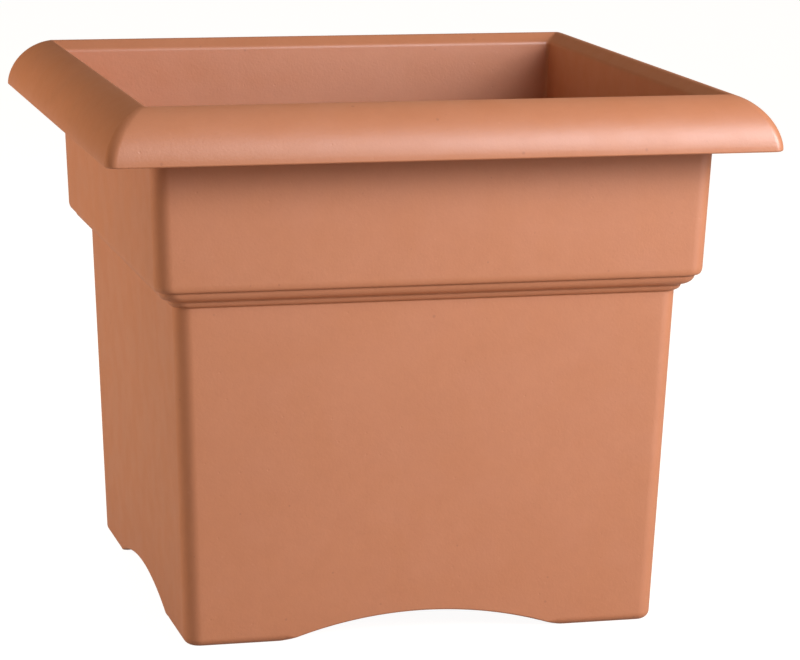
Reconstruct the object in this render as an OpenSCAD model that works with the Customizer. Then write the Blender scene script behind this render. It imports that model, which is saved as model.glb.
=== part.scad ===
// Square resin planter box: one moulded shell with a rolled rim, a plain collar,
// a stepped moulding, tapered sides and four corner feet with arches between them,
// and four lift-out plugs that close the drain holes in its raised floor.
// The origin is on the ground under the middle, +Z is up and the front faces -Y.

/* [Overall] */
// Width over the rolled rim, the same both ways
rim_w = 381; // [340:1:480]
// Height from the ground to the top of the lip
planter_h = 310; // [280:1:420]
// Thickness of the moulded walls
wall = 3; // [2.4:0.1:3.6]

/* [Rolled rim] */
// Reach of the roll, from the lip out to the rim's widest line
roll_reach = 24.9; // [20:0.1:34]
// Height of the roll, from the lip down to the rim's lower edge
roll_drop = 29; // [22:0.5:40]
// Fullness of the roll: 2 is an ellipse, less is flatter
roll_fullness = 1.71; // [1.5:0.01:2.2]
// Flat width on top of the lip
lip_flat = 3.2; // [1.5:0.1:4]
// Radius of the lip's inner edge
lip_round = 4.8; // [3.2:0.1:6]
// Corner radius of the lip's outer line, seen from above
lip_corner_r = 3; // [1:0.5:6]
// Corner radius of the rim's widest line, seen from above
rim_corner_r = 4; // [4:0.1:8]

/* [Collar] */
// Height of the collar that shows under the rim
collar_h = 74; // [50:1:110]
// How far each side of the collar draws in over that height
collar_draft = 2.9; // [0:0.1:6]
// Radius of the collar's lower edge
collar_edge_r = 2.3; // [1:0.1:3]
// Corner radius of the collar, seen from above
collar_corner_r = 7.5; // [6:0.5:14]

/* [Moulding] */
// Depth of the step under the collar
step_in = 3.3; // [2.8:0.1:5]
// Reach of the quarter round under the step
ovolo_reach = 6; // [3:0.1:8]
// Height of the quarter round
ovolo_h = 7.1; // [4:0.1:9]
// Reach of the small bead under the quarter round
bead_reach = 3.2; // [1.5:0.1:5]
// Height of the small bead
bead_h = 4; // [2:0.1:6]

/* [Body and feet] */
// How far each side of the body draws in from the moulding to the ground
body_draft = 7.6; // [2:0.1:14]
// Corner radius of the body, seen from above
body_corner_r = 8; // [7:0.5:14]
// Radius of the feet's lower outer edges
foot_round = 5; // [3:0.1:6]
// Width of the arch between two feet, on the ground
arch_w = 162; // [120:1:190]
// Height of the arch
arch_h = 14.2; // [10:0.1:20]

/* [Drain holes and plugs] */
// Diameter of each drain hole
drain_d = 18; // [12:0.5:22]
// Distance of each drain hole from the middle of the floor
drain_reach = 62; // [50:1:75]
// Diameter of the flat pad round each drain hole
pad_d = 36; // [33:0.5:40]
// Height of that pad above the crown of the floor
pad_rise = 1.2; // [0.8:0.1:2]
// Diameter of a plug's flange
flange_d = 27; // [25:0.5:31]
// Thickness of a plug's flange
flange_t = 2.2; // [1.5:0.1:3]
// How far a plug's shank reaches below the hole
shank_below = 2; // [1:0.1:4]
// Wall of a plug's hollow shank
shank_wall = 2.2; // [1.6:0.1:3]
// Length of the lead-in at the tip of a plug's shank
tip_lead = 1.6; // [0.8:0.1:2.5]
// Outer diameter of a plug's finger ring
ring_d = 18; // [15:0.5:20]
// Thickness of the bar that the finger ring is bent from
ring_t = 3.2; // [2.4:0.1:4]
// Height of the finger ring's centre above the flange
ring_rise = 7.4; // [6.5:0.1:9]

/* [Hidden] */

// Radial clearance between a plug's shank and its drain hole
plug_clear = 0.06;
// Overrun of the cuts past the faces they open
over = 1;

// Facets of round things, and steps along the lofted curves
round_fn = 96;
arch_fn = 360;
corner_steps = 8;
roll_steps = 12;
edge_steps = 4;
// Share of the wall that stands outside the ends of the raised floor
bury_share = 0.5;
// Shares of the wall and the step where the inside ledge meets the collar and the body
ledge_top_share = 1.2;
ledge_low_share = 1;

// Half widths, outside
rim_half = rim_w / 2;
lip_half = rim_half - roll_reach;
crest_half = lip_half - lip_flat;
inner_lip_half = crest_half - lip_round;
collar_top_half = inner_lip_half + wall;
collar_low_half = collar_top_half - collar_draft;
ovolo_half = collar_low_half - step_in;
bead_half = ovolo_half - ovolo_reach;
body_top_half = bead_half - bead_reach;
body_low_half = body_top_half - body_draft;

// Heights
rim_low_z = planter_h - roll_drop;
collar_low_z = rim_low_z - collar_h;
ovolo_low_z = collar_low_z - ovolo_h;
body_top_z = ovolo_low_z - bead_h;
groove_z = planter_h - wall;

// Half width of the body's outer face at a height
function body_half(z) = body_low_half + body_draft * z / body_top_z;

// Arches and raised floor: each is a long shallow cylinder that lies level
arch_r = ((arch_w / 2) * (arch_w / 2) + arch_h * arch_h) / (2 * arch_h);
arch_axis_z = arch_h - arch_r;
vault_r = arch_r + wall;
crown_z = arch_h + wall;
pad_z = crown_z + pad_rise;

// Plug
shank_r = drain_d / 2 - plug_clear;
shank_low_z = arch_h - shank_below;
ring_z = pad_z + flange_t + ring_rise;
ring_mid_r = (ring_d - ring_t) / 2;

// Points of a profile are [half width, height, corner radius]

// The foot's lower edge, from the ground up to the side
foot_outside = [for (i = [0 : edge_steps]) let (a = 90 * i / edge_steps)
    [body_half(foot_round) - foot_round + foot_round * sin(a),
     foot_round - foot_round * cos(a),
     body_corner_r - foot_round + foot_round * sin(a)]];

// The bead and the quarter round, each a quarter of an ellipse that turns outward going up
bead = [for (i = [0 : edge_steps]) let (a = 90 * i / edge_steps)
    [body_top_half + bead_reach * sin(a), ovolo_low_z - bead_h * cos(a), body_corner_r]];
ovolo = [for (i = [1 : edge_steps]) let (a = 90 * i / edge_steps)
    [bead_half + ovolo_reach * sin(a), collar_low_z - ovolo_h * cos(a), body_corner_r]];

// The collar's rounded lower edge and the top of its outer face, up inside the rim
collar_edge = [for (i = [0 : edge_steps]) let (a = 90 * i / edge_steps)
    [collar_low_half - collar_edge_r + collar_edge_r * sin(a),
     collar_low_z + collar_edge_r - collar_edge_r * cos(a),
     collar_corner_r - collar_edge_r + collar_edge_r * sin(a)]];
collar_top = [[collar_top_half, rim_low_z, collar_corner_r],
              [collar_top_half, groove_z, collar_corner_r]];

// One quarter of the roll, inset by a thickness; share 0 is at the lip and 1 at the lower edge
function roll_point(share, inset) = let (
        out_share = pow(sin(90 * share), 2 / roll_fullness),
        up_share = pow(cos(90 * share), 2 / roll_fullness))
    [lip_half + (roll_reach - inset) * out_share,
     rim_low_z + (roll_drop - inset) * up_share,
     lip_corner_r + (rim_corner_r - inset - lip_corner_r) * out_share];
roll_inside = [for (i = [0 : roll_steps]) roll_point(i / roll_steps, wall)];
roll_outside = [for (i = [roll_steps : -1 : 0]) roll_point(i / roll_steps, 0)];

// The lip's rounded inner edge, the inner face of the collar and the ledge below it
lip_inside = [for (i = [0 : edge_steps]) let (a = 90 * i / edge_steps)
    [crest_half - lip_round * sin(a), planter_h - lip_round + lip_round * cos(a), lip_corner_r]];
ledge = [[collar_low_half - wall, collar_low_z + wall * ledge_top_share, collar_corner_r - wall],
         [body_top_half - wall, body_top_z + wall * ledge_low_share, body_corner_r - wall]];

// The inside of the feet, down to their floor
foot_inside = [for (i = [0 : edge_steps]) let (a = 90 * i / edge_steps)
    [body_half(wall + foot_round) - wall - foot_round + foot_round * cos(a),
     wall + foot_round - foot_round * sin(a),
     body_corner_r - wall]];

profile = concat(foot_outside, bead, ovolo, collar_edge, collar_top, roll_inside, roll_outside,
                 lip_inside, ledge, foot_inside);

// A square ring with rounded corners at one point of the profile
function ring(p) = [for (q = [0 : 3], i = [0 : corner_steps]) let (
        a = 90 * (q + i / corner_steps),
        side_x = (q == 0 || q == 3) ? 1 : -1,
        side_y = q < 2 ? 1 : -1)
    [side_x * (p[0] - p[2]) + p[2] * cos(a), side_y * (p[0] - p[2]) + p[2] * sin(a), p[1]]];

// The cup: the profile's rings joined side by side, closed at both ends
module cup() {
    n = 4 * (corner_steps + 1);
    m = len(profile);
    points = [for (p = profile) each ring(p)];
    sides = [for (k = [0 : m - 2], i = [0 : n - 1]) let (j = (i + 1) % n)
        each [[k * n + i, (k + 1) * n + i, (k + 1) * n + j], [k * n + i, (k + 1) * n + j, k * n + j]]];
    ground = [[for (i = [0 : n - 1]) i]];
    floor_end = [[for (i = [n - 1 : -1 : 0]) (m - 1) * n + i]];
    polyhedron(points, concat(sides, ground, floor_end), convexity = 12);
}

// A level cylinder of a radius under the floor, along Y
module barrel(r, length) {
    translate([0, 0, arch_axis_z])
        rotate([90, 0, 0])
            cylinder(r = r, h = length, center = true, $fn = arch_fn);
}

// The raised floor over one pair of arches, buried at its ends in the side walls
module vault() {
    length = 2 * (body_low_half - wall * bury_share);
    low_z = wall * bury_share;
    intersection() {
        barrel(vault_r, length);
        translate([-arch_w, -arch_w, low_z])
            cube([2 * arch_w, 2 * arch_w, crown_z]);
    }
}

// Puts its children at each drain hole in turn: front, right, back, left
module at_drain(i) {
    rotate([0, 0, 90 * i - 90])
        translate([drain_reach, 0, 0])
            children();
}

module planter_shell() {
    color([0.80, 0.50, 0.37])
    difference() {
        union() {
            cup();
            vault();
            rotate([0, 0, 90])
                vault();
            for (i = [0 : 3])
                at_drain(i)
                    translate([0, 0, arch_h])
                        cylinder(d = pad_d, h = pad_z - arch_h, $fn = round_fn);
        }
        barrel(arch_r, rim_w);
        rotate([0, 0, 90])
            barrel(arch_r, rim_w);
        for (i = [0 : 3])
            at_drain(i)
                translate([0, 0, arch_h - over])
                    cylinder(d = drain_d, h = pad_z - arch_h + 2 * over, $fn = round_fn);
    }
}

// One plug: a hollow shank in the drain hole, a flange on the pad and a finger ring on top
module drain_plug(i) {
    color([0.24, 0.23, 0.22])
    at_drain(i) {
        difference() {
            union() {
                translate([0, 0, pad_z])
                    cylinder(d = flange_d, h = flange_t, $fn = round_fn);
                translate([0, 0, shank_low_z + tip_lead])
                    cylinder(r = shank_r, h = pad_z - shank_low_z - tip_lead, $fn = round_fn);
                translate([0, 0, shank_low_z])
                    cylinder(r1 = shank_r - tip_lead / 2, r2 = shank_r, h = tip_lead, $fn = round_fn);
            }
            translate([0, 0, shank_low_z - over])
                cylinder(r = shank_r - shank_wall, h = pad_z - shank_low_z + over, $fn = round_fn);
        }
        intersection() {
            translate([0, 0, ring_z])
                rotate([90, 0, 0])
                    rotate_extrude($fn = round_fn)
                        translate([ring_mid_r, 0])
                            circle(d = ring_t, $fn = round_fn / 3);
            translate([-ring_d, -ring_d, pad_z + flange_t / 2])
                cube([2 * ring_d, 2 * ring_d, 2 * ring_d]);
        }
    }
}

module drain_plug_front() {
    drain_plug(0);
}

module drain_plug_right() {
    drain_plug(1);
}

module drain_plug_back() {
    drain_plug(2);
}

module drain_plug_left() {
    drain_plug(3);
}

planter_shell();
drain_plug_front();
drain_plug_right();
drain_plug_back();
drain_plug_left();
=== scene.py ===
# %% [markdown]
# # Square planter box
# The planter is one moulded resin shell with a rolled rim, a plain collar, a stepped
# moulding, tapered sides and four hollow corner feet. Four rubber plugs close the drain
# holes in its raised floor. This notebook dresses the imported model: it keeps the model's
# sizes and bodies, and makes each surface again with the soft edges and the finish of the
# real thing. The planter's lengths are written in millimetres and turned into metres once.
# The camera, the lamps and the sizes of the textures are in metres from the start.

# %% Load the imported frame
import math
import bmesh
import bpy
import numpy as np
from mathutils import Matrix, Vector


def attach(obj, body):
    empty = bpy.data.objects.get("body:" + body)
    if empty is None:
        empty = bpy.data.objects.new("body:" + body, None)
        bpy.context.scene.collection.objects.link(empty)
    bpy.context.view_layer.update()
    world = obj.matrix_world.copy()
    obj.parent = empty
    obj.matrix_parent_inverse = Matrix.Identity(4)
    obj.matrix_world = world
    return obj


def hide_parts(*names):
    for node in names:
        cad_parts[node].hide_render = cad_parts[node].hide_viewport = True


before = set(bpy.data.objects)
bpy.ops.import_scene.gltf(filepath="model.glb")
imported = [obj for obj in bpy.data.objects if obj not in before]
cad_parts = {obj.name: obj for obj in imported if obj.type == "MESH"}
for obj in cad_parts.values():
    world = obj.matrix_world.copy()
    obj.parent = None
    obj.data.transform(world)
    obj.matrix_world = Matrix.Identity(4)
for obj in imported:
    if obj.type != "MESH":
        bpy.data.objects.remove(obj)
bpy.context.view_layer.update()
MM = 0.001

# %% [markdown]
# ## Camera
# A camera could be aimed with a Track To constraint, but this one is placed from a fit to
# the photo's corners, so it needs its exact turn: first about the vertical, then tipped
# down, then a slight roll. The three directions go straight into its matrix.

# %% Place the camera
EYE = (-0.4767, -1.9166, 0.5381)
TURN, TIP, LEAN = (math.radians(a) for a in (14.52, 11.10, 0.66))
SENSOR, FOCAL_PIXELS, PHOTO_WIDTH = 36, 3347.1, 800
ahead = Vector((math.sin(TURN) * math.cos(TIP), math.cos(TURN) * math.cos(TIP), -math.sin(TIP)))
level = Vector((math.cos(TURN), -math.sin(TURN), 0))
above = level.cross(ahead)
right = level * math.cos(LEAN) + above * math.sin(LEAN)
up = above * math.cos(LEAN) - level * math.sin(LEAN)
camera = bpy.data.objects.new("camera", bpy.data.cameras.new("camera"))
camera.matrix_world = Matrix((right, up, -ahead)).transposed().to_4x4()
camera.location = EYE
camera.data.sensor_width = SENSOR
camera.data.lens = SENSOR * FOCAL_PIXELS / PHOTO_WIDTH
bpy.context.scene.collection.objects.link(camera)
bpy.context.scene.camera = camera
print("lens", round(camera.data.lens, 1), "mm, eye", EYE)

# %% [markdown]
# ## Sizes of the shell
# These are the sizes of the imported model, in millimetres. The outline of the shell is
# given as half widths, because it has four like sides round one middle.

# %% Sizes
WALL = 3.0
# heights of the top, the rim's lower edge, the collar, the moulding and the body
TOP, RIM_LOW, COLLAR_LOW, OVOLO_LOW, BODY_TOP = 310.0, 280.3, 206.0, 199.9, 195.9
# the lip's outer edge and crest, and the bevel that leads from it to the inner wall
LIP, CREST, CREST_SOFT, LIP_CORNER = 166.5, 166.0, 3.0, 1.6
BEVEL, BEVEL_SOFT, INSIDE_TOP_HALF = 40.0, 3.6, 158.2
# the rolled rim: how far it reaches out and drops, how full it is, its first slope
ROLL_REACH, ROLL_DROP, ROLL_FULLNESS, ROLL_START = 24.0, 29.7, 1.85, 9.0
ROLL_CORNER, LEAST_CORNER = 6.2, 0.7
# half widths of the collar, the moulding and the body
COLLAR_TOP_HALF, COLLAR_LOW_HALF = 160.6, 157.7
OVOLO_HALF, BEAD_HALF, BODY_TOP_HALF, BODY_LOW_HALF = 154.4, 148.4, 145.2, 137.6
# radii of the upright corners
BODY_CORNER, COLLAR_CORNER, INNER_CORNER, LEDGE_CORNER = 9.6, 9.6, 5.0, 4.5
# the arches between the feet, and the drain holes with their pads
ARCH_R, ARCH_H = 238.1, 14.2
DRAIN_REACH, DRAIN_R, PAD_R, PAD_Z = 62.0, 9.0, 18.0, 18.4
# radii of the soft edges below, and the small rounding of the pads and plugs
FOOT_EDGE, ARCH_EDGE, FLOOR_EDGE, EASE, EASE_MID = 5.0, 1.2, 3.0, 0.5, 0.15


def body_half(z):
    """Half width of the body's outer face at a height."""
    return BODY_LOW_HALF + (BODY_TOP_HALF - BODY_LOW_HALF) * z / BODY_TOP


print("body half widths", body_half(0), body_half(BODY_TOP))

# %% [markdown]
# ## A net for a square bowl
# A square bowl could be a cube with an inset and a bevel, but a bevel can't change its
# radius on the way up, and the rim's corners do just that: sharp at the lip and soft
# below. So every level of the shell is laid on one net. Across the floor the net is a
# grid whose corner cells bend round a quarter disc, and the grid's edge gives the columns
# that all the rings of the sides follow. That keeps the whole shell in clean four-sided
# faces, with no seam between floor and sides.

# %% The net
CORE, BEND = 90, 6
SIDE = CORE + 2 * BEND


def along(k):
    """Share of the straight run, -1 to 1, and of the bend, -1 to 1, at net line k."""
    run = np.clip((k - BEND) / CORE, 0, 1) * 2 - 1
    bend = np.clip((k - SIDE + BEND) / BEND, 0, 1) - np.clip((BEND - k) / BEND, 0, 1)
    return run, bend


def on_net(i, j, half, radius):
    """Place of node i, j on a square of that half width and corner radius."""
    (run_x, a), (run_y, b) = along(i), along(j)
    size_a, size_b = np.abs(a), np.abs(b)
    reach = np.maximum(size_a, size_b)
    low = np.minimum(size_a, size_b) / np.maximum(reach, 1e-9)
    angle = np.where(size_a >= size_b, low, 2 - low) * math.pi / 4
    x = run_x * (half - radius) + np.sign(a) * radius * reach * np.cos(angle)
    y = run_y * (half - radius) + np.sign(b) * radius * reach * np.sin(angle)
    return x, y


step = np.arange(SIDE)
edge_i = np.concatenate([step, np.full(SIDE, SIDE), SIDE - step, np.zeros(SIDE, int)])
edge_j = np.concatenate([np.zeros(SIDE, int), step, np.full(SIDE, SIDE), SIDE - step])
print("columns round the shell", len(edge_i))

# %% [markdown]
# ## Arches and floor
# Between the feet the underside rises in a plain circular arch, on all four faces, and
# the two arches cross as shallow tunnels under the raised floor. Cutting them with a
# Boolean would leave ragged faces along the shallow slope. A height function is cleaner:
# it gives the underside's height at any place, and a soft maximum blends arch and foot.

# %% Heights of the underside and of the floor
def soft_max(a, b, blend=1.0):
    """The larger of two heights, with a blend where they are close."""
    gap = np.clip((a - b + blend) / (2 * blend), 0, 1)
    return b + 2 * blend * np.where(gap < 1, gap * gap / 2, 0) + np.where(gap < 1, 0, a - b)


def tunnel(x, extra):
    """Height over the ground of an arch, or of the floor over it, at x."""
    inside = np.clip((ARCH_R + extra) ** 2 - x * x, 0, None)
    return np.sqrt(inside) - (ARCH_R - ARCH_H)


def under_z(x, y):
    """Height of the underside."""
    return soft_max(soft_max(tunnel(x, 0), tunnel(y, 0)), 0.0 * x)


def floor_z(x, y):
    """Height of the floor, a wall's thickness above the underside."""
    return soft_max(soft_max(tunnel(x, WALL), tunnel(y, WALL)), WALL + 0.0 * x)


middle_point = np.array(0.0)
print("crown under", round(float(under_z(middle_point, middle_point)), 2),
      "floor", round(float(floor_z(middle_point, middle_point)), 2))

# %% [markdown]
# ## Drain holes
# Each drain hole sits in a round pad. The net's cells near a hole are drawn into circles,
# the cells inside the circle are left out, and turned rings then carry the surface up
# over the pad and down through the hole. The hole is round because its rings are.

# %% Bend the net round the drain holes
HOLE_CELLS, REACH_CELLS, DRAIN_CELLS = 6, 12, 24
DRAINS = [(0, -1), (1, 0), (0, 1), (-1, 0)]


def draw_round(x, y, i, j, drain, cell, hole):
    """Draw the nodes round one drain into circles. Returns x, y and the cells' distance."""
    a, b = i - SIDE / 2 - drain[0] * DRAIN_CELLS, j - SIDE / 2 - drain[1] * DRAIN_CELLS
    far = np.maximum(np.abs(a), np.abs(b))
    near = far < REACH_CELLS
    low = np.minimum(np.abs(a), np.abs(b)) / np.maximum(far, 1e-9)
    angle = np.where(np.abs(a) >= np.abs(b), low, 2 - low) * math.pi / 4
    share = np.clip((far - HOLE_CELLS) / (REACH_CELLS - HOLE_CELLS), 0, 1)
    radius = hole + (REACH_CELLS * cell - hole) * share
    keep = share * share * (3 - 2 * share)
    round_x = drain[0] * DRAIN_REACH + np.sign(a) * radius * np.cos(angle)
    round_y = drain[1] * DRAIN_REACH + np.sign(b) * radius * np.sin(angle)
    x = np.where(near, x * keep + round_x * (1 - keep), x)
    y = np.where(near, y * keep + round_y * (1 - keep), y)
    return x, y, far


ring_k = np.arange(2 * HOLE_CELLS)
full = np.full(2 * HOLE_CELLS, HOLE_CELLS)
hole_i = np.concatenate([ring_k - HOLE_CELLS, full, HOLE_CELLS - ring_k, -full])
hole_j = np.concatenate([-full, ring_k - HOLE_CELLS, full, HOLE_CELLS - ring_k])
print("columns round a drain hole", len(hole_i))

# %% [markdown]
# ## The outline, from the body's top to the lip and down the inside
# A moulded planter's section could be drawn as a curve and bent round the net, but arcs
# and straights given by their sizes are easier to check against the model. Each outline
# point is a half width, a height and the radius that the shell's corners have there.

# %% Helpers for the outline
def arc(half, z, wide, high, start, end, steps, corner):
    """Points on part of an ellipse, angles in degrees from straight outward."""
    angles = np.radians(np.linspace(start, end, steps + 1))
    return [(half + wide * math.cos(a), z + high * math.sin(a), corner) for a in angles]


def straight(start, end, steps):
    """Points from one outline point to another, without the two ends."""
    shares = np.linspace(0, 1, steps + 1)[1:-1]
    return [tuple(a + (b - a) * s for a, b in zip(start, end)) for s in shares]


print("a quarter arc", [tuple(round(v, 2) for v in p) for p in arc(0, 0, 1, 1, 0, 90, 2, 0)])

# %% [markdown]
# The moulding is a small bead and a quarter round under the collar's rounded edge. Each
# meets the next in a tiny fillet, which is what makes the dark lines in the photo. The
# collar's outer face then runs up behind the rim, to the groove that a finger reaches.

# %% Outline of the moulding and the collar
FILLET, COLLAR_EDGE_IN, COLLAR_EDGE_UP = 0.75, 1.9, 5.0


def fillet(half, z):
    """A tiny hollow where one member of the moulding meets the next."""
    return arc(half + FILLET, z - FILLET, FILLET, FILLET, 180, 90, 4, BODY_CORNER)


moulding = fillet(BODY_TOP_HALF, BODY_TOP)
moulding += arc(BODY_TOP_HALF, OVOLO_LOW, BEAD_HALF - BODY_TOP_HALF, OVOLO_LOW - BODY_TOP,
                -78, -8, 8, BODY_CORNER)
moulding += fillet(BEAD_HALF, OVOLO_LOW)
moulding += arc(BEAD_HALF, COLLAR_LOW, OVOLO_HALF - BEAD_HALF, COLLAR_LOW - OVOLO_LOW,
                -84, -5, 12, BODY_CORNER)
moulding += fillet(OVOLO_HALF, COLLAR_LOW)
collar = arc(COLLAR_LOW_HALF - COLLAR_EDGE_IN, COLLAR_LOW + COLLAR_EDGE_UP, COLLAR_EDGE_IN,
             COLLAR_EDGE_UP, -90, 0, 12, COLLAR_CORNER)
collar_top = (COLLAR_TOP_HALF, RIM_LOW, COLLAR_CORNER)
groove = arc(COLLAR_TOP_HALF + WALL, TOP - 2 * WALL, WALL, WALL, 180, 90, 5, INNER_CORNER)
collar += straight(collar[-1], collar_top, 5) + [collar_top]
collar += straight(collar_top, groove[0], 2) + groove
print("points of the moulding", len(moulding), "and of the collar", len(collar))

# %% [markdown]
# The rim is a quarter of a fuller ellipse that leaves the lip at a slope, and it is open
# below. Its corners are sharp at the lip and soft at the lower edge, so the mitre shows
# as a crisp line that fades downwards.

# %% Outline of the rolled rim
INNER_SOFT, ROLL_EDGE, EDGE_SHARE = 1.3, 1.0, 0.94
INNER_SHARES, OUTER_SHARES = np.linspace(0.09, 0.95, 12), np.linspace(0.925, 0, 28)


def roll_point(share, inset):
    """A point of the rolled rim: share 0 at the lip, 1 at its lower edge."""
    power, first = 2 / ROLL_FULLNESS, math.radians(ROLL_START)
    angle = first + (math.pi / 2 - first) * share
    cut = math.sin(first) ** power
    out = (math.sin(angle) ** power - cut) / (1 - cut)
    rise = (math.cos(angle) / math.cos(first)) ** power
    corner = LIP_CORNER + (ROLL_CORNER - LIP_CORNER) * math.sqrt(out) - inset
    return (LIP + (ROLL_REACH - inset) * out, RIM_LOW + (ROLL_DROP - inset) * rise,
            max(corner, LEAST_CORNER))


roll_low = roll_point(EDGE_SHARE, 0)
rim = [roll_point(share, WALL) for share in INNER_SHARES]
rim += arc(rim[-1][0] + INNER_SOFT, RIM_LOW + INNER_SOFT, INNER_SOFT, INNER_SOFT,
           180, 270, 5, rim[-1][2])
rim += arc(roll_low[0] - ROLL_EDGE, RIM_LOW + ROLL_EDGE, ROLL_EDGE, ROLL_EDGE,
           270, 360, 7, roll_low[2])
rim += [roll_point(share, 0) for share in OUTER_SHARES]
print("rim's width", round(2 * max(p[0] for p in rim), 1))

# %% [markdown]
# The lip's crest is rounded, and a bevel leads from it down to the inner wall. Seen from
# the front it is the narrow band along the back wall's top, and a fine line on the left.
# Lower down, the inner wall steps in over the moulding on a sloping ledge.

# %% Outline of the lip and of the inside
BEVEL_CORNER, TOP_CORNER = 2.0, 2.2
lip = [((LIP + CREST) / 2, TOP, LIP_CORNER)]
lip += arc(CREST, TOP - CREST_SOFT, CREST_SOFT, CREST_SOFT, 90, 90 + BEVEL, 8, LIP_CORNER)
slope = math.radians(BEVEL)
round_in = INSIDE_TOP_HALF + BEVEL_SOFT * (1 - math.sin(slope))
bevel_low = lip[-1][1] - (lip[-1][0] - round_in) * math.tan(slope)
lip += straight(lip[-1], (round_in, bevel_low, BEVEL_CORNER), 2)
lip += arc(INSIDE_TOP_HALF + BEVEL_SOFT, bevel_low - BEVEL_SOFT * math.cos(slope),
           BEVEL_SOFT, BEVEL_SOFT, 90 + BEVEL, 180, 7, TOP_CORNER)
LEDGE_HOLLOW, LEDGE_TURN, LEDGE_TOP, HOLLOW_UP = 4.0, 3.0, 6.0, 5.4
collar_in, body_in, ledge_low = COLLAR_LOW_HALF - WALL, BODY_TOP_HALF - WALL, BODY_TOP + WALL
inside = straight(lip[-1], (collar_in, COLLAR_LOW + LEDGE_TOP, LEDGE_CORNER), 5)
inside += arc(collar_in - LEDGE_HOLLOW, COLLAR_LOW + HOLLOW_UP, LEDGE_HOLLOW, LEDGE_HOLLOW,
              0, -43, 5, LEDGE_CORNER)
inside += straight(inside[-1], (body_in + 2.2, ledge_low + 1.6, INNER_CORNER), 2)
inside += arc(body_in + LEDGE_TURN, ledge_low - 1.6, LEDGE_TURN, LEDGE_TURN,
              137, 180, 5, INNER_CORNER)
outline = moulding + collar + rim + lip + inside
print("outline points", len(outline), "widest", round(max(p[0] for p in outline) * 2, 1))

# %% [markdown]
# ## Putting the shell together
# A loft of edge loops could be skinned with Bridge Edge Loops, but here every ring has the
# same columns, so the faces are known: each joins two neighbours of one ring to the same
# two of the next. The rings run from the underside, round the feet's lower edges, up the
# outside, over the rim and down the inside to the floor. Near the ground each column has
# its own height, because the arch lifts it, and its own edge radius: five millimetres at
# the feet, barely one in the arches.

# %% Rings of the shell
def edge_radius(lift, at_foot, in_arch, full_lift=2.5):
    """Edge radius of a column, from how far the arch lifts it."""
    share = np.clip(lift / full_lift, 0, 1)
    share = share * share * (3 - 2 * share)
    return at_foot + (in_arch - at_foot) * share


def low_edge(t, height, ground, at_foot, in_arch, inset, corner, corner_share):
    """Half widths, heights and corner radii of a ring of the lower edge, t 0 flat to 1 upright."""
    x, y = on_net(edge_i, edge_j, BODY_LOW_HALF - inset, corner)
    base = height(x, y)
    radius = edge_radius(base - ground, at_foot, in_arch)
    back = radius * (1 - math.sin(math.pi / 2 * t))
    rise = radius * (1 - math.cos(math.pi / 2 * t))
    half = body_half(base + radius) - inset - back
    own_corner = corner - back * corner_share
    x, y = on_net(edge_i, edge_j, half, own_corner)
    return half, height(x, y) + rise, own_corner


def side_rings(low, high, steps, crowding=1.5):
    """Rings between a low edge and a level ring, closer together near the edge."""
    shares = (np.arange(1, steps) / steps) ** crowding
    return [tuple(a * (1 - share) + b * share for a, b in zip(low, high)) for share in shares]


def thin_out(points, least=0.04):
    """The points without any that lies on the one before it."""
    kept = [points[0]]
    for p in points[1:]:
        if math.hypot(p[0] - kept[-1][0], p[1] - kept[-1][1]) > least:
            kept.append(p)
    return kept


outline = thin_out(outline)
feet_out = [low_edge(t, under_z, 0.0, FOOT_EDGE, ARCH_EDGE, 0.0, BODY_CORNER, 1.0)
            for t in np.linspace(0, 1, 9)]
feet_in = [low_edge(t, floor_z, WALL, FOOT_EDGE, FLOOR_EDGE, WALL, INNER_CORNER, 0.5)
           for t in np.linspace(1, 0, 9)]
rings = feet_out + side_rings(feet_out[-1], outline[0], 6) + outline
rings += side_rings(feet_in[0], outline[-1], 6)[::-1] + feet_in
print("rings", len(rings))

# %% [markdown]
# The mesh is built up as one list of points and one of faces. It starts with the net of the
# underside, adds the rings one by one, and ends with the net of the floor. The cells inside
# the drain holes stay empty, and their edges are kept for the holes' own rings.

# %% Nets and rings become faces
NET_HALF, NET_CORNER = 126.25, 10.0
UNDER_HOLE, FLOOR_HOLE = 12.0, 19.6
points, faces = [], []


def add_ring(x, y, z):
    """Add a ring of points and return their numbers."""
    first = len(points)
    points.extend(zip(x, y, z + 0.0 * x))
    return list(range(first, len(points)))


def join(low, high):
    """Faces between two rings with the same columns."""
    for k in range(len(low)):
        n = (k + 1) % len(low)
        faces.append((low[k], low[n], high[n], high[k]))


def add_floor(height, hole):
    """Add a floor net with its drain holes. Returns its edge and its holes as rings."""
    cell = 2 * (NET_HALF - NET_CORNER) / CORE
    lines = np.arange(SIDE + 1)
    i, j = (g.ravel() for g in np.meshgrid(lines, lines, indexing="ij"))
    x, y = on_net(i, j, NET_HALF, NET_CORNER)
    inside_hole = np.zeros(len(x), bool)
    for drain in DRAINS:
        x, y, far = draw_round(x, y, i, j, drain, cell, hole)
        inside_hole |= far < HOLE_CELLS
    number = np.full(len(x), -1)
    number[~inside_hole] = add_ring(x[~inside_hole], y[~inside_hole], height(x, y)[~inside_hole])
    number = number.reshape(SIDE + 1, SIDE + 1)
    for a in range(SIDE):
        for b in range(SIDE):
            quad = (number[a, b], number[a + 1, b], number[a + 1, b + 1], number[a, b + 1])
            if min(quad) >= 0:
                faces.append(tuple(int(q) for q in quad))
    middle_cell = SIDE // 2
    holes = [[int(q) for q in number[middle_cell + dx * DRAIN_CELLS + hole_i,
                                     middle_cell + dy * DRAIN_CELLS + hole_j]]
             for dx, dy in DRAINS]
    return [int(q) for q in number[edge_i, edge_j]], holes


last, under_holes = add_floor(under_z, UNDER_HOLE)
for half, z, corner in rings:
    new = add_ring(*on_net(edge_i, edge_j, half, corner), z)
    join(last, new)
    last = new
floor_edge, floor_holes = add_floor(floor_z, FLOOR_HOLE)
join(last, floor_edge)
print("points so far", len(points))

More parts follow.
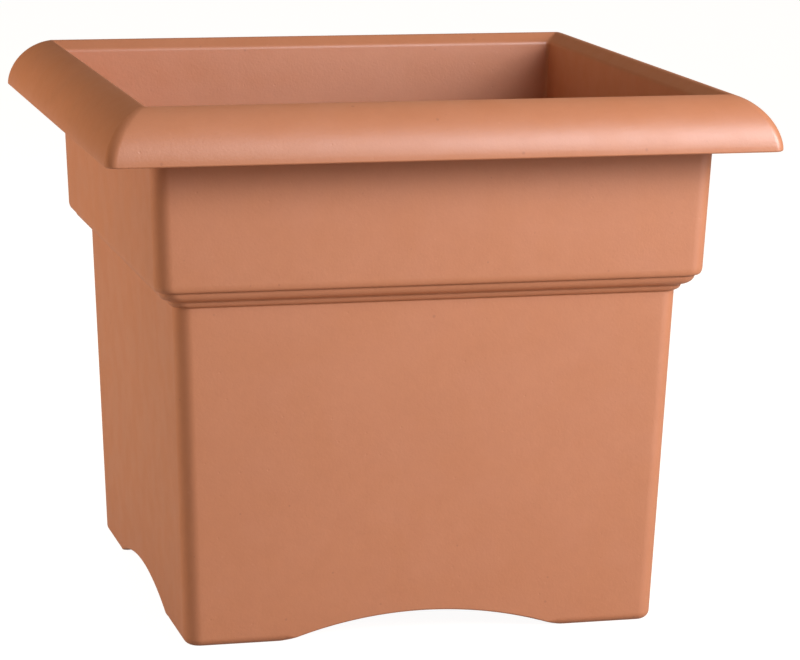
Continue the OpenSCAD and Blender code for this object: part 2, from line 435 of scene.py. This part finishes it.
# %% [markdown]
# A drain hole's wall joins the two nets. Its rings start on the floor, round up on to the
# flat pad that the plug's flange sits on, and go down through the hole to the underside.

# %% Turn the drain holes
# radius, the surface it is measured from (none is the ground), height over that
pad = [(PAD_R + 0.8, floor_z, 0.06), (PAD_R + 0.35, floor_z, 0.22), (PAD_R + 0.1, floor_z, EASE),
       (PAD_R, None, PAD_Z - EASE), (PAD_R - EASE_MID, None, PAD_Z - EASE_MID),
       (PAD_R - EASE, None, PAD_Z), (14.0, None, PAD_Z), (DRAIN_R + EASE, None, PAD_Z),
       (DRAIN_R + EASE_MID, None, PAD_Z - EASE_MID), (DRAIN_R, None, PAD_Z - EASE),
       (DRAIN_R, under_z, EASE), (DRAIN_R + EASE_MID, under_z, EASE_MID),
       (DRAIN_R + EASE, under_z, 0.0)]
for (dx, dy), top_hole, low_hole in zip(DRAINS, floor_holes, under_holes):
    last = top_hole
    rim_x, rim_y = (np.array([points[k][axis] for k in last]) for axis in (0, 1))
    angle = np.arctan2(rim_y - dy * DRAIN_REACH, rim_x - dx * DRAIN_REACH)
    for radius, height, rise in pad:
        x = dx * DRAIN_REACH + radius * np.cos(angle)
        y = dy * DRAIN_REACH + radius * np.sin(angle)
        new = add_ring(x, y, rise + (height(x, y) if height else 0.0 * x))
        join(last, new)
        last = new
    join(last, low_hole)
print("points of the shell", len(points))

# %% [markdown]
# The faces are turned outward in one step, and the count of open edges shows whether the
# shell is closed. A weighted normal modifier keeps the wide flat faces flat beside the
# small rounded edges, without cutting the mesh at every edge as a sharp split would.

# %% The moulded shell
shell_mesh = bpy.data.meshes.new("moulded_shell")
shell_mesh.from_pydata([tuple(c * MM for c in p) for p in points], [], faces)
build = bmesh.new()
build.from_mesh(shell_mesh)
bmesh.ops.recalc_face_normals(build, faces=build.faces)
open_edges = sum(1 for e in build.edges if not e.is_manifold)
print("shell: points", len(build.verts), "faces", len(build.faces), "open edges", open_edges,
      "volume cm3", round(build.calc_volume(signed=True) * 1e6, 1))
build.to_mesh(shell_mesh)
build.free()
shell_mesh.shade_smooth()
shell = bpy.data.objects.new("moulded_shell", shell_mesh)
bpy.context.scene.collection.objects.link(shell)
even = shell.modifiers.new("even_shading", "WEIGHTED_NORMAL")
even.mode, even.weight = "FACE_AREA", 80
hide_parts("planter_shell")
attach(shell, "planter")

# %% [markdown]
# ## Drain plugs
# Each plug is moulded in black rubber: a flange that rests on the pad, a hollow shank with
# two soft ribs that grip the hole, and a ring for a finger. A Screw modifier could turn
# the outline, but turning it in code keeps the columns where we want them. The ring is a
# bar bent to a circle that grows out of the flange, so a Boolean union joins the two.

# %% Turn and bend one plug
TURNS, RING_TURNS, RING_SIDES = 72, 64, 20
FLANGE_R, FLANGE_T, FLANGE_SOFT, DISH, DISH_R = 13.5, 2.2, 0.9, 0.35, 8.6
RIB_R, NECK_R, SHANK_HOLLOW_R, SHANK_LOW = 8.94, 8.72, 6.74, 12.2
RING_R, BAR_R, RING_Z = 7.4, 1.6, 28.0
flange_top = PAD_Z + FLANGE_T
flange_flat = FLANGE_R - FLANGE_SOFT
# the flange's top with its dished middle, and its edge
plug_outline = [(0.0, flange_top - DISH), (DISH_R, flange_top - DISH),
                (DISH_R + 1.3, flange_top - 0.28), (DISH_R + 2.0, flange_top - 0.06),
                (DISH_R + 2.6, flange_top), (flange_flat, flange_top)]
plug_outline += [(r, z) for r, z, corner in arc(flange_flat, flange_top - FLANGE_SOFT,
                                                FLANGE_SOFT, FLANGE_SOFT, 75, 0, 5, 0)]
plug_outline += [(FLANGE_R, PAD_Z + EASE), (FLANGE_R - EASE_MID, PAD_Z + EASE_MID),
                 (FLANGE_R - EASE, PAD_Z), (9.3, PAD_Z), (8.9, PAD_Z - 0.2)]
# the neck and the two grip ribs
plug_outline += [(NECK_R, PAD_Z - 0.6), (NECK_R, PAD_Z - 0.9), (RIB_R, PAD_Z - 1.4),
                 (RIB_R, PAD_Z - 1.9), (NECK_R, PAD_Z - 2.4), (NECK_R, PAD_Z - 2.8),
                 (RIB_R, PAD_Z - 3.3), (RIB_R, SHANK_LOW + 1.6)]
# the shank's rounded end and the hollow inside it
plug_outline += [(8.3, SHANK_LOW + 0.3), (8.0, SHANK_LOW), (7.1, SHANK_LOW),
                 (SHANK_HOLLOW_R, SHANK_LOW + 0.35), (SHANK_HOLLOW_R, PAD_Z - 0.8),
                 (6.5, PAD_Z - 0.25), (5.9, PAD_Z), (0.0, PAD_Z)]


def turned(outline_rz, turns):
    """A closed mesh turned round the upright axis from its half outline, in millimetres."""
    made = bmesh.new()
    columns = []
    for k in range(turns):
        a = 2 * math.pi * k / turns
        columns.append([made.verts.new((r * math.cos(a), r * math.sin(a), z))
                        for r, z in outline_rz])
    for k in range(turns):
        near, far = columns[k], columns[(k + 1) % turns]
        for m in range(len(outline_rz) - 1):
            made.faces.new((near[m], far[m], far[m + 1], near[m + 1]))
    bmesh.ops.remove_doubles(made, verts=made.verts, dist=1e-4)
    bmesh.ops.recalc_face_normals(made, faces=made.faces)
    return made


def bent_bar(ring_r, bar_r, ring_z, turns, sides, thicker=0.25, wider=0.7):
    """A round bar bent to an upright ring, a little stouter where it meets the flange."""
    made = bmesh.new()
    loops = []
    for k in range(turns):
        a = 2 * math.pi * k / turns
        out = Vector((math.cos(a), 0, math.sin(a)))
        low = max(0.0, -math.sin(a)) ** 2
        loops.append([made.verts.new(out * (ring_r + (bar_r + thicker * low) * math.cos(b))
                                     + Vector((0, (bar_r + wider * low) * math.sin(b), ring_z)))
                      for b in (2 * math.pi * n / sides for n in range(sides))])
    for k in range(turns):
        near, far = loops[k], loops[(k + 1) % turns]
        for n in range(sides):
            m = (n + 1) % sides
            made.faces.new((near[n], near[m], far[m], far[n]))
    bmesh.ops.recalc_face_normals(made, faces=made.faces)
    return made


def as_object(name, made):
    """Link a finished bmesh, given in millimetres, as an object in metres."""
    made.transform(Matrix.Scale(MM, 4))
    mesh = bpy.data.meshes.new(name)
    made.to_mesh(mesh)
    made.free()
    new = bpy.data.objects.new(name, mesh)
    bpy.context.scene.collection.objects.link(new)
    return new


plug_body = as_object("plug_body", turned(plug_outline, TURNS))
finger_ring = as_object("finger_ring", bent_bar(RING_R, BAR_R, RING_Z, RING_TURNS, RING_SIDES))
union = plug_body.modifiers.new("grow_together", "BOOLEAN")
union.operation, union.solver, union.object = "UNION", "EXACT", finger_ring
bpy.context.view_layer.update()
joined = plug_body.evaluated_get(bpy.context.evaluated_depsgraph_get())
plug_mesh = bpy.data.meshes.new_from_object(joined)
for spare in (plug_body, finger_ring):
    spare_mesh = spare.data
    bpy.data.objects.remove(spare)
    bpy.data.meshes.remove(spare_mesh)
check = bmesh.new()
check.from_mesh(plug_mesh)
print("plug: points", len(check.verts),
      "open edges", sum(1 for e in check.edges if not e.is_manifold),
      "volume mm3", round(check.calc_volume() * 1e9, 1))
check.free()

# %% [markdown]
# The four plugs are alike, so one mesh is copied. An instance would save memory, but each
# plug moves with its own body and each copy has its place in its mesh, as the frame asks.
# The rings all point away from the middle, the way that a hand sets them.

# %% Set the four plugs in their holes
CREASE = math.radians(50)
plugs = []
for name, (dx, dy) in zip(("front", "right", "back", "left"), DRAINS):
    mesh = plug_mesh.copy()
    mesh.name = "rubber_plug_" + name
    place = Matrix.Translation((dx * DRAIN_REACH * MM, dy * DRAIN_REACH * MM, 0))
    mesh.transform(place @ Matrix.Rotation(math.atan2(dy, dx), 4, "Z"))
    mesh.shade_smooth()
    mesh.set_sharp_from_angle(angle=CREASE)
    plug = bpy.data.objects.new("rubber_plug_" + name, mesh)
    bpy.context.scene.collection.objects.link(plug)
    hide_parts("drain_plug_" + name)
    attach(plug, "plug_" + name)
    plugs.append(plug)
bpy.data.meshes.remove(plug_mesh)
print("plugs", [p.name for p in plugs])

# %% [markdown]
# ## Shared effects
# Moulded resin isn't one even colour. The pigment gathers in soft clouds, a few grains
# stay as specks, and the mould's skin leaves a fine orange peel. The same effects, at
# other sizes, suit the rubber, so each is a node group that is made once. An image
# texture could show them too, but noise works at any size and needs no unwrapping.

# %% Helpers for shader nodes
def feed(tree, value, socket):
    """Link a socket to an input, or set the input to a plain value."""
    if isinstance(value, bpy.types.NodeSocket):
        tree.links.new(value, socket)
    else:
        socket.default_value = value


def add_node(tree, kind, settings=None, **values):
    """Add a node with its properties and inputs. An input goes by title, or by i and number."""
    made = tree.nodes.new(kind)
    for key, value in (settings or {}).items():
        setattr(made, key, value)
    for key, value in values.items():
        numbered = key[0] == "i" and key[1:].isdigit()
        feed(tree, value, made.inputs[int(key[1:]) if numbered else key])
    return made


def math_node(tree, operation, a, b):
    """A Math node's result."""
    return add_node(tree, "ShaderNodeMath", {"operation": operation}, i0=a, i1=b).outputs[0]


def times(tree, a, b):
    """The product of two values."""
    return math_node(tree, "MULTIPLY", a, b)


def ramp(tree, value, low, high, to_low=0.0, to_high=1.0):
    """A smooth step of a value from one range to another."""
    return add_node(tree, "ShaderNodeMapRange", {"interpolation_type": "SMOOTHSTEP"}, i0=value,
                    i1=low, i2=high, i3=to_low, i4=to_high).outputs[0]


def blend_colours(tree, share, first, second):
    """Mix two colours, given as sockets or as plain colours, by a share."""
    mix = add_node(tree, "ShaderNodeMix", {"data_type": "RGBA"}, i0=share, i6=first, i7=second)
    return mix.outputs[2]


helpers = (feed, add_node, math_node, times, ramp, blend_colours)
print("helpers", [helper.__name__ for helper in helpers])

# %% [markdown]
# The group of clouds gives three masks: an even tone, a broader change of hue, and streaks
# that are drawn out along the height, because the mould is filled upwards.

# %% Clouds of pigment
FLOAT = "NodeSocketFloat"


def new_group(name, inputs, outputs):
    """A shader node group of floats, and the sockets of its input and output nodes."""
    tree = bpy.data.node_groups.new(name, "ShaderNodeTree")
    for title, value in inputs:
        socket = tree.interface.new_socket(name=title, in_out="INPUT", socket_type=FLOAT)
        socket.default_value = value
    for title in outputs:
        tree.interface.new_socket(name=title, in_out="OUTPUT", socket_type=FLOAT)
    return tree, tree.nodes.new("NodeGroupInput").outputs, tree.nodes.new("NodeGroupOutput").inputs


def on_object(tree):
    """The place on the object, in metres."""
    return tree.nodes.new("ShaderNodeTexCoord").outputs["Object"]


def vector_node(tree, operation, a, b):
    """A Vector Math node's result."""
    kind = {"operation": operation}
    return add_node(tree, "ShaderNodeVectorMath", kind, i0=a, i1=b).outputs[0]


def noise(tree, place, scale, **more):
    """A noise texture's value."""
    return add_node(tree, "ShaderNodeTexNoise", Vector=place, Scale=scale, **more).outputs[0]


FAR_OFF, UPRIGHT, HUE_SCALE = (0.7, 0.3, 0.5), (1.0, 1.0, 0.12), 0.45
clouds, came, goes = new_group("pigment_clouds", [("Size", 0.02), ("Stretch", 1.0)],
                               ["Tone", "Hue", "Streak"])
where = on_object(clouds)
scale = math_node(clouds, "DIVIDE", 1.0, came["Size"])
tone = noise(clouds, where, scale, Detail=5.0, Roughness=0.55)
hue = noise(clouds, vector_node(clouds, "ADD", where, FAR_OFF), times(clouds, scale, HUE_SCALE),
            Detail=3.0, Roughness=0.5, Distortion=0.6)
streak = noise(clouds, vector_node(clouds, "MULTIPLY", where, UPRIGHT),
               times(clouds, scale, came["Stretch"]), Detail=4.0, Roughness=0.6)
clouds.links.new(ramp(clouds, tone, 0.3, 0.7), goes["Tone"])
clouds.links.new(ramp(clouds, hue, 0.35, 0.65), goes["Hue"])
clouds.links.new(ramp(clouds, streak, 0.35, 0.65), goes["Streak"])
print("group", clouds.name, "nodes", len(clouds.nodes))

# %% [markdown]
# Specks are grains that didn't melt. A Voronoi texture puts one in each cell, some cells
# are left empty, and a little noise makes the grains' outlines ragged.

# %% Specks
RAGGED, LEAST_SIZE, FADE_FROM = 0.05, 0.35, 0.4
specks, came, goes = new_group("specks", [("Spacing", 0.01), ("Size", 0.06), ("Share", 0.3)],
                               ["Dark", "Light"])
where = on_object(specks)
scale = math_node(specks, "DIVIDE", 1.0, came["Spacing"])
for title, shift in (("Dark", (0.0, 0.0, 0.0)), ("Light", (0.21, 0.37, 0.11))):
    moved = vector_node(specks, "ADD", where, shift)
    wobble = noise(specks, moved, times(specks, scale, 5.0), Detail=2.0)
    cells = add_node(specks, "ShaderNodeTexVoronoi", Vector=moved, Scale=scale)
    split = add_node(specks, "ShaderNodeSeparateColor", Color=cells.outputs["Color"]).outputs
    reach = times(specks, came["Size"], math_node(specks, "ADD", split[1], LEAST_SIZE))
    uneven = times(specks, math_node(specks, "SUBTRACT", wobble, 0.5), RAGGED)
    distance = math_node(specks, "ADD", cells.outputs["Distance"], uneven)
    grain = ramp(specks, distance, times(specks, reach, FADE_FROM), reach, 1.0, 0.0)
    chosen = math_node(specks, "LESS_THAN", split[0], came["Share"])
    specks.links.new(times(specks, grain, chosen), goes[title])
print("group", specks.name, "nodes", len(specks.nodes))

# %% [markdown]
# The skin of the mould is an orange peel with a few pits in it, over a slow wave. It goes
# into the relief, and the same wave gives patches that are a little duller.

# %% Skin of the mould
WAVE_SCALE, WAVE_HEIGHT, PIT_DEPTH = 0.07, 1.5, 0.8
skin, came, goes = new_group("mould_skin", [("Peel size", 0.002), ("Pit spacing", 0.004),
                                            ("Pit share", 0.2)], ["Height", "Patch"])
where = on_object(skin)
peel_scale = math_node(skin, "DIVIDE", 1.0, came["Peel size"])
peel = noise(skin, where, peel_scale, Detail=3.0, Roughness=0.5)
wave = noise(skin, where, times(skin, peel_scale, WAVE_SCALE), Detail=2.0)
pits = add_node(skin, "ShaderNodeTexVoronoi", Vector=where,
                Scale=math_node(skin, "DIVIDE", 1.0, came["Pit spacing"])).outputs
pit_split = add_node(skin, "ShaderNodeSeparateColor", Color=pits["Color"]).outputs
pit_here = math_node(skin, "LESS_THAN", pit_split[0], came["Pit share"])
pit = times(skin, ramp(skin, pits["Distance"], 0.05, 0.22, 1.0, 0.0), pit_here)
height = math_node(skin, "SUBTRACT", peel, times(skin, pit, PIT_DEPTH))
height = math_node(skin, "ADD", height, times(skin, wave, WAVE_HEIGHT))
skin.links.new(height, goes["Height"])
skin.links.new(ramp(skin, wave, 0.35, 0.65), goes["Patch"])
print("group", skin.name, "nodes", len(skin.nodes))

# %% [markdown]
# Dust lies only on what faces up, in soft puffs. The surface's normal tells how far up a
# place faces, and noise breaks the layer up.

# %% Dust that settles on what faces up
dust, came, goes = new_group("settled_dust", [("Size", 0.006), ("Slope", 0.6), ("Amount", 0.3)],
                             ["Mask"])
normal = dust.nodes.new("ShaderNodeNewGeometry").outputs["Normal"]
facing_up = add_node(dust, "ShaderNodeSeparateXYZ", Vector=normal).outputs[2]
lies = ramp(dust, facing_up, came["Slope"], 1.0)
puffs = noise(dust, on_object(dust), math_node(dust, "DIVIDE", 1.0, came["Size"]),
              Detail=6.0, Roughness=0.65)
patchy = times(dust, lies, ramp(dust, puffs, 0.35, 0.7))
dust.links.new(times(dust, patchy, came["Amount"]), goes["Mask"])
print("group", dust.name, "nodes", len(dust.nodes))

# %% [markdown]
# ## Terracotta resin
# The planter's resin is coloured all through and matt, and a little smoother on the rim,
# where hands hold it. A photo of it shows warm clouds a finger wide, faint upright streaks
# from the mould's filling, and sparse grains. An even colour would look like bare plastic,
# so colour, roughness and relief all get these effects, each in a small share. The
# reflection level is the same all over, so it sits on the shader itself.

# %% Resin material
def place_group(tree, group, **values):
    """Put a shared group in a material with its own values."""
    made = tree.nodes.new("ShaderNodeGroup")
    made.node_tree = group
    for key, value in values.items():
        made.inputs[key.replace("_", " ")].default_value = value
    return made


resin = bpy.data.materials.new("terracotta_resin")
resin.use_nodes = True
net = resin.node_tree
shader = net.nodes["Principled BSDF"]
warm_clouds = place_group(net, clouds, Size=0.016, Stretch=2.2)
wide_clouds = place_group(net, clouds, Size=0.07, Stretch=1.0)
mottle = place_group(net, clouds, Size=0.0055, Stretch=1.0)
grains = place_group(net, specks, Spacing=0.009, Size=0.11, Share=0.30)
fine_grains = place_group(net, specks, Spacing=0.0035, Size=0.13, Share=0.35)
surface = place_group(net, skin, Peel_size=0.0016, Pit_spacing=0.004, Pit_share=0.05)
settled = place_group(net, dust, Size=0.02, Slope=0.75, Amount=0.07)
OCHRE, CLAY, PINK = (0.592, 0.222, 0.098, 1), (0.600, 0.227, 0.104, 1), (0.608, 0.232, 0.110, 1)
BROWN, PALE_STREAK, DUST = (0.46, 0.155, 0.070, 1), (0.68, 0.31, 0.18, 1), (0.62, 0.42, 0.30, 1)
DARK_GRAIN, PALE_GRAIN = (0.28, 0.08, 0.04, 1), (0.75, 0.36, 0.22, 1)
FINE_GRAIN = (0.33, 0.10, 0.04, 1)
clay = blend_colours(net, warm_clouds.outputs["Hue"], OCHRE, PINK)
clay = blend_colours(net, 0.5, clay, CLAY)
shade = math_node(net, "ADD", times(net, warm_clouds.outputs["Tone"], 0.45),
                  times(net, wide_clouds.outputs["Tone"], 0.55))
for mask, share, tint in ((shade, 0.14, BROWN), (mottle.outputs["Tone"], 0.10, BROWN),
                          (warm_clouds.outputs["Streak"], 0.02, PALE_STREAK),
                          (grains.outputs["Dark"], 0.30, DARK_GRAIN),
                          (grains.outputs["Light"], 0.12, PALE_GRAIN),
                          (fine_grains.outputs["Dark"], 0.14, FINE_GRAIN)):
    clay = blend_colours(net, times(net, mask, share), clay, tint)
clay = blend_colours(net, settled.outputs["Mask"], clay, DUST)
net.links.new(clay, shader.inputs["Base Color"])
RESIN_ROUGH, DULLER_PATCH, SMOOTHER_RIM, FADE = 0.46, 0.06, 0.055, 0.004
height = add_node(net, "ShaderNodeSeparateXYZ", Vector=on_object(net)).outputs[2]
handled = ramp(net, height, RIM_LOW * MM - FADE, RIM_LOW * MM + FADE)
rough = math_node(net, "ADD", RESIN_ROUGH, times(net, surface.outputs["Patch"], DULLER_PATCH))
rough = math_node(net, "SUBTRACT", rough, times(net, handled, SMOOTHER_RIM))
net.links.new(rough, shader.inputs["Roughness"])
shader.inputs["Specular IOR Level"].default_value = 0.95
relief = add_node(net, "ShaderNodeBump", Strength=0.35, Distance=0.0002,
                  Height=surface.outputs["Height"])
net.links.new(relief.outputs[0], shader.inputs["Normal"])
shell.data.materials.append(resin)
print("resin nodes", len(net.nodes))

# %% [markdown]
# ## Plug rubber
# Black rubber is dull, with a bloom of pale dust where it faces up and small nibs from
# the mould. A plain dark colour would lose the shapes of the ring and the flange, so the
# rubber uses the same groups as the resin, at smaller sizes.

# %% Rubber material
rubber = bpy.data.materials.new("plug_rubber")
rubber.use_nodes = True
net = rubber.node_tree
shader = net.nodes["Principled BSDF"]
bloom = place_group(net, clouds, Size=0.006, Stretch=1.5)
nibs = place_group(net, specks, Spacing=0.0025, Size=0.12, Share=0.35)
fine = place_group(net, skin, Peel_size=0.0006, Pit_spacing=0.0018, Pit_share=0.2)
powder = place_group(net, dust, Size=0.004, Slope=0.3, Amount=0.28)
BLACK, WORN_BLACK = (0.0075, 0.0070, 0.0066, 1), (0.0125, 0.0116, 0.0108, 1)
NIB, POWDER = (0.05, 0.045, 0.04, 1), (0.16, 0.12, 0.095, 1)
RUBBER_ROUGH, BLOOM_ROUGH = 0.52, 0.16
black = blend_colours(net, bloom.outputs["Tone"], BLACK, WORN_BLACK)
black = blend_colours(net, times(net, nibs.outputs["Light"], 0.3), black, NIB)
black = blend_colours(net, powder.outputs["Mask"], black, POWDER)
net.links.new(black, shader.inputs["Base Color"])
dull = math_node(net, "ADD", RUBBER_ROUGH, times(net, bloom.outputs["Hue"], BLOOM_ROUGH))
net.links.new(dull, shader.inputs["Roughness"])
shader.inputs["Specular IOR Level"].default_value = 0.45
relief = add_node(net, "ShaderNodeBump", Strength=0.4, Distance=0.0001,
                  Height=fine.outputs["Height"])
net.links.new(relief.outputs[0], shader.inputs["Normal"])
for plug in plugs:
    plug.data.materials.append(rubber)
print("rubber nodes", len(net.nodes))

# %% [markdown]
# ## Floor
# A photo studio's sweep is a sheet that curves up behind the object. A plain floor does
# here, because the world behind it is as white. The floor adds a little light of its own,
# but only for the camera and for reflections, so that it shows white and still keeps the
# planter's soft shadow. Its own colour is a plain buff: it only sets how much light, and how
# warm, comes back from the floor on the planter's sides.

# %% Pale floor
def seen_as(tree, lit, mirrored, looked_at):
    """A strength that differs for light, for reflections and for the camera."""
    path = tree.nodes.new("ShaderNodeLightPath").outputs
    shine = math_node(tree, "MAXIMUM", path["Is Glossy Ray"], path["Is Transmission Ray"])
    kept = math_node(tree, "ADD", times(tree, shine, mirrored - lit), lit)
    return math_node(tree, "ADD", times(tree, path["Is Camera Ray"], looked_at - lit), kept)


FLOOR_HALF, FLOOR_CELLS, PAPER = 6.0, 8, (0.36, 0.29, 0.22, 1)
floor_mesh = bpy.data.meshes.new("studio_floor")
sheet = bmesh.new()
bmesh.ops.create_grid(sheet, x_segments=FLOOR_CELLS, y_segments=FLOOR_CELLS, size=FLOOR_HALF)
sheet.to_mesh(floor_mesh)
sheet.free()
floor = bpy.data.objects.new("studio_floor", floor_mesh)
bpy.context.scene.collection.objects.link(floor)
paper = bpy.data.materials.new("studio_paper")
paper.use_nodes = True
net = paper.node_tree
shader = net.nodes["Principled BSDF"]
shader.inputs["Base Color"].default_value = PAPER
shader.inputs["Roughness"].default_value = 0.9
shader.inputs["Specular IOR Level"].default_value = 0.0
glow = add_node(net, "ShaderNodeEmission", Color=(1, 1, 1, 1),
                Strength=seen_as(net, 0.0, 0.2, 0.95))
both = net.nodes.new("ShaderNodeAddShader")
net.links.new(shader.outputs[0], both.inputs[0])
net.links.new(glow.outputs[0], both.inputs[1])
net.links.new(both.outputs[0], net.nodes["Material Output"].inputs["Surface"])
floor.data.materials.append(paper)
print("floor", [round(v, 1) for v in floor.dimensions])

# %% [markdown]
# ## Light
# The photo's light is a large soft source at the right front, a little above the rim, in a
# white room. The shadow that the right wall throws on the back wall gives its direction,
# and the shadow's soft edge gives its size. One very large lamp could do, but three keys,
# a low, a high and a near one, can be weighed against each other until the rim, the front
# and the back wall each have their share. They are slightly cool and the room is warm, as
# the photo's bright and dark tones are. A side, a top and a back lamp fill the shades and
# have no highlight of their own, because the photo shows none there.

# %% Lamps
AIM = Vector((0, 0, 0.2))


def soft_box(name, place, size, power, colour, mirrored):
    """A square area lamp that points at the planter, with or without its own highlight."""
    lamp = bpy.data.lights.new(name, "AREA")
    lamp.shape, lamp.size, lamp.energy, lamp.color = "SQUARE", size, power, colour
    made = bpy.data.objects.new(name, lamp)
    made.location = place
    made.rotation_euler = (AIM - Vector(place)).to_track_quat("-Z", "Y").to_euler()
    made.visible_glossy = mirrored
    bpy.context.scene.collection.objects.link(made)
    return made


COOL, WARM, WHITE = (0.99, 1.02, 1.11), (1.0, 0.94, 0.84), (1, 1, 1)
lamps = [soft_box("key_light", (1.43, -1.29, 0.75), 0.8, 22.2, COOL, True),
         soft_box("high_key", (1.20, -1.25, 1.20), 0.8, 13.2, COOL, True),
         soft_box("near_key", (0.43, -1.06, 0.81), 0.55, 4.2, COOL, True),
         soft_box("side_light", (-0.97, 0.22, 0.29), 0.36, 5.3, WARM, False),
         soft_box("top_light", (0, -0.14, 1.79), 1.0, 1.8, WHITE, False),
         soft_box("back_light", (0.655, 1.135, 1.12), 0.8, 2.7, WHITE, False)]
print("lamps", [(lamp.name, lamp.data.energy) for lamp in lamps])

# %% [markdown]
# The room is the world. To the camera it is plain white, and on the planter it is a weak
# warm light. A dome of geometry could do the same, but it would need its own material and
# would have to be kept out of the model.

# %% The white room
ROOM, ROOM_SHINE, WARM_ROOM = 0.15, 0.1, (1.0, 0.76, 0.52, 1)
world = bpy.data.worlds.new("white_room")
bpy.context.scene.world = world
world.use_nodes = True
net = world.node_tree
background = net.nodes["Background"]
net.links.new(seen_as(net, ROOM, ROOM_SHINE, 1.0), background.inputs["Strength"])
by_camera = net.nodes.new("ShaderNodeLightPath").outputs["Is Camera Ray"]
room_colour = blend_colours(net, by_camera, WARM_ROOM, (1, 1, 1, 1))
net.links.new(room_colour, background.inputs["Color"])
bpy.context.scene.view_settings.view_transform = "Standard"
print("room", ROOM, "in reflections", ROOM_SHINE)
